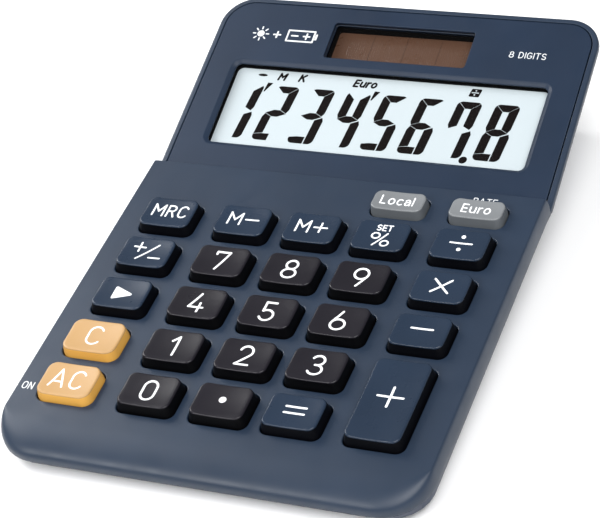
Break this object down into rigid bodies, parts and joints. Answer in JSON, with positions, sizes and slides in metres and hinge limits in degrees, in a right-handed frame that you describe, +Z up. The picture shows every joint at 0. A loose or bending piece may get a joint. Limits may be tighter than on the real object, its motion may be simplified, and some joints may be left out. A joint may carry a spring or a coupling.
{
  "type": "desk calculator",
  "caption": "Wedge-shaped desk calculator: sloping keypad of sprung keys, raised display unit with a liquid crystal display and a solar cell, on rubber feet.",
  "frame": {"origin": "centre of the whole object's bounding box, at the height of the table that the rubber feet stand on", "axes": "+X to the right of the keypad, +Y from the user towards the display, +Z up"},
  "size_m": [0.103, 0.147, 0.0288],
  "materials": {
    "upper_case": "fine spark-eroded texture, satin",
    "display_panel": "very fine matt texture",
    "lower_case": "medium moulded texture",
    "function_key": "satin, white printed legend",
    "digit_key": "satin, white printed legend",
    "clear_key": "satin, white printed legend",
    "currency_key": "satin, white printed legend",
    "clear_window": "clear acrylic",
    "lcd_glass": "polarised display glass, pale grey-green",
    "reflector": "brushed foil",
    "black_plastic": "moulded black",
    "solar_cell": "brown amorphous cell on glass",
    "silicone": "translucent grey silicone",
    "circuit_board": "green solder mask",
    "epoxy": "black drop of epoxy",
    "capacitor": "blue sleeve",
    "flat_cable": "amber film",
    "wire": "red sleeve",
    "plated_steel": "bright nickel plate",
    "screw_steel": "zinc plate",
    "rubber": "matt black",
    "label": "blank silver-grey film"
  },
  "bodies": {
    "casing": {"battery_cover": "lower_case", "battery_wire_minus": "wire", "battery_wire_plus": "wire", "button_cell": "plated_steel", "capacitor": "capacitor", "case_screw_front_left": "screw_steel", "case_screw_front_right": "screw_steel", "case_screw_rear_left": "screw_steel", "case_screw_rear_right": "screw_steel", "chip_seal": "epoxy", "circuit_board": "circuit_board", "contact_minus": "plated_steel", "contact_plus": "plated_steel", "cover_screw": "screw_steel", "display_cable": "flat_cable", "display_panel": "display_panel", "foot_front_left": "rubber", "foot_front_right": "rubber", "foot_rear_left": "rubber", "foot_rear_right": "rubber", "key_mat": "silicone", "lcd_cell": "lcd_glass", "lcd_holder": "black_plastic", "lcd_reflector": "reflector", "lcd_window": "clear_window", "lower_case": "lower_case", "rating_label": "label", "solar_cell": "solar_cell", "solar_window": "clear_window", "solar_wire_minus": "wire", "solar_wire_plus": "wire", "upper_case": "upper_case"},
    "key_all_clear": {"key_all_clear": "clear_key"},
    "key_0": {"key_0": "digit_key"},
    "key_point": {"key_point": "digit_key"},
    "key_equals": {"key_equals": "function_key"},
    "key_plus": {"key_plus": "function_key"},
    "key_clear": {"key_clear": "clear_key"},
    "key_1": {"key_1": "digit_key"},
    "key_2": {"key_2": "digit_key"},
    "key_3": {"key_3": "digit_key"},
    "key_shift": {"key_shift": "function_key"},
    "key_4": {"key_4": "digit_key"},
    "key_5": {"key_5": "digit_key"},
    "key_6": {"key_6": "digit_key"},
    "key_minus": {"key_minus": "function_key"},
    "key_sign": {"key_sign": "function_key"},
    "key_7": {"key_7": "digit_key"},
    "key_8": {"key_8": "digit_key"},
    "key_9": {"key_9": "digit_key"},
    "key_multiply": {"key_multiply": "function_key"},
    "key_memory_recall": {"key_memory_recall": "function_key"},
    "key_memory_minus": {"key_memory_minus": "function_key"},
    "key_memory_plus": {"key_memory_plus": "function_key"},
    "key_percent": {"key_percent": "function_key"},
    "key_divide": {"key_divide": "function_key"},
    "key_local": {"key_local": "currency_key"},
    "key_euro": {"key_euro": "currency_key"}
  },
  "joints": [
    {"name": "key_all_clear_press", "type": "slide", "parent": "casing", "child": "key_all_clear", "axis": [0, 0.0785, -0.9969], "range_m": [0, 0.0012], "stiffness_N_per_m": 400, "springref_m": -0.0005},
    {"name": "key_0_press", "type": "slide", "parent": "casing", "child": "key_0", "axis": [0, 0.0785, -0.9969], "range_m": [0, 0.0012], "stiffness_N_per_m": 400, "springref_m": -0.0005},
    {"name": "key_point_press", "type": "slide", "parent": "casing", "child": "key_point", "axis": [0, 0.0785, -0.9969], "range_m": [0, 0.0012], "stiffness_N_per_m": 400, "springref_m": -0.0005},
    {"name": "key_equals_press", "type": "slide", "parent": "casing", "child": "key_equals", "axis": [0, 0.0785, -0.9969], "range_m": [0, 0.0012], "stiffness_N_per_m": 400, "springref_m": -0.0005},
    {"name": "key_plus_press", "type": "slide", "parent": "casing", "child": "key_plus", "axis": [0, 0.0785, -0.9969], "range_m": [0, 0.0012], "stiffness_N_per_m": 400, "springref_m": -0.0005},
    {"name": "key_clear_press", "type": "slide", "parent": "casing", "child": "key_clear", "axis": [0, 0.0785, -0.9969], "range_m": [0, 0.0012], "stiffness_N_per_m": 400, "springref_m": -0.0005},
    {"name": "key_1_press", "type": "slide", "parent": "casing", "child": "key_1", "axis": [0, 0.0785, -0.9969], "range_m": [0, 0.0012], "stiffness_N_per_m": 400, "springref_m": -0.0005},
    {"name": "key_2_press", "type": "slide", "parent": "casing", "child": "key_2", "axis": [0, 0.0785, -0.9969], "range_m": [0, 0.0012], "stiffness_N_per_m": 400, "springref_m": -0.0005},
    {"name": "key_3_press", "type": "slide", "parent": "casing", "child": "key_3", "axis": [0, 0.0785, -0.9969], "range_m": [0, 0.0012], "stiffness_N_per_m": 400, "springref_m": -0.0005},
    {"name": "key_shift_press", "type": "slide", "parent": "casing", "child": "key_shift", "axis": [0, 0.0785, -0.9969], "range_m": [0, 0.0012], "stiffness_N_per_m": 400, "springref_m": -0.0005},
    {"name": "key_4_press", "type": "slide", "parent": "casing", "child": "key_4", "axis": [0, 0.0785, -0.9969], "range_m": [0, 0.0012], "stiffness_N_per_m": 400, "springref_m": -0.0005},
    {"name": "key_5_press", "type": "slide", "parent": "casing", "child": "key_5", "axis": [0, 0.0785, -0.9969], "range_m": [0, 0.0012], "stiffness_N_per_m": 400, "springref_m": -0.0005, "deforming": ["key_mat"]},
    {"name": "key_6_press", "type": "slide", "parent": "casing", "child": "key_6", "axis": [0, 0.0785, -0.9969], "range_m": [0, 0.0012], "stiffness_N_per_m": 400, "springref_m": -0.0005},
    {"name": "key_minus_press", "type": "slide", "parent": "casing", "child": "key_minus", "axis": [0, 0.0785, -0.9969], "range_m": [0, 0.0012], "stiffness_N_per_m": 400, "springref_m": -0.0005},
    {"name": "key_sign_press", "type": "slide", "parent": "casing", "child": "key_sign", "axis": [0, 0.0785, -0.9969], "range_m": [0, 0.0012], "stiffness_N_per_m": 400, "springref_m": -0.0005},
    {"name": "key_7_press", "type": "slide", "parent": "casing", "child": "key_7", "axis": [0, 0.0785, -0.9969], "range_m": [0, 0.0012], "stiffness_N_per_m": 400, "springref_m": -0.0005},
    {"name": "key_8_press", "type": "slide", "parent": "casing", "child": "key_8", "axis": [0, 0.0785, -0.9969], "range_m": [0, 0.0012], "stiffness_N_per_m": 400, "springref_m": -0.0005},
    {"name": "key_9_press", "type": "slide", "parent": "casing", "child": "key_9", "axis": [0, 0.0785, -0.9969], "range_m": [0, 0.0012], "stiffness_N_per_m": 400, "springref_m": -0.0005},
    {"name": "key_multiply_press", "type": "slide", "parent": "casing", "child": "key_multiply", "axis": [0, 0.0785, -0.9969], "range_m": [0, 0.0012], "stiffness_N_per_m": 400, "springref_m": -0.0005},
    {"name": "key_memory_recall_press", "type": "slide", "parent": "casing", "child": "key_memory_recall", "axis": [0, 0.0785, -0.9969], "range_m": [0, 0.0012], "stiffness_N_per_m": 400, "springref_m": -0.0005},
    {"name": "key_memory_minus_press", "type": "slide", "parent": "casing", "child": "key_memory_minus", "axis": [0, 0.0785, -0.9969], "range_m": [0, 0.0012], "stiffness_N_per_m": 400, "springref_m": -0.0005},
    {"name": "key_memory_plus_press", "type": "slide", "parent": "casing", "child": "key_memory_plus", "axis": [0, 0.0785, -0.9969], "range_m": [0, 0.0012], "stiffness_N_per_m": 400, "springref_m": -0.0005},
    {"name": "key_percent_press", "type": "slide", "parent": "casing", "child": "key_percent", "axis": [0, 0.0785, -0.9969], "range_m": [0, 0.0012], "stiffness_N_per_m": 400, "springref_m": -0.0005},
    {"name": "key_divide_press", "type": "slide", "parent": "casing", "child": "key_divide", "axis": [0, 0.0785, -0.9969], "range_m": [0, 0.0012], "stiffness_N_per_m": 400, "springref_m": -0.0005},
    {"name": "key_local_press", "type": "slide", "parent": "casing", "child": "key_local", "axis": [0, 0.0785, -0.9969], "range_m": [0, 0.0012], "stiffness_N_per_m": 400, "springref_m": -0.0005},
    {"name": "key_euro_press", "type": "slide", "parent": "casing", "child": "key_euro", "axis": [0, 0.0785, -0.9969], "range_m": [0, 0.0012], "stiffness_N_per_m": 400, "springref_m": -0.0005}
  ]
}
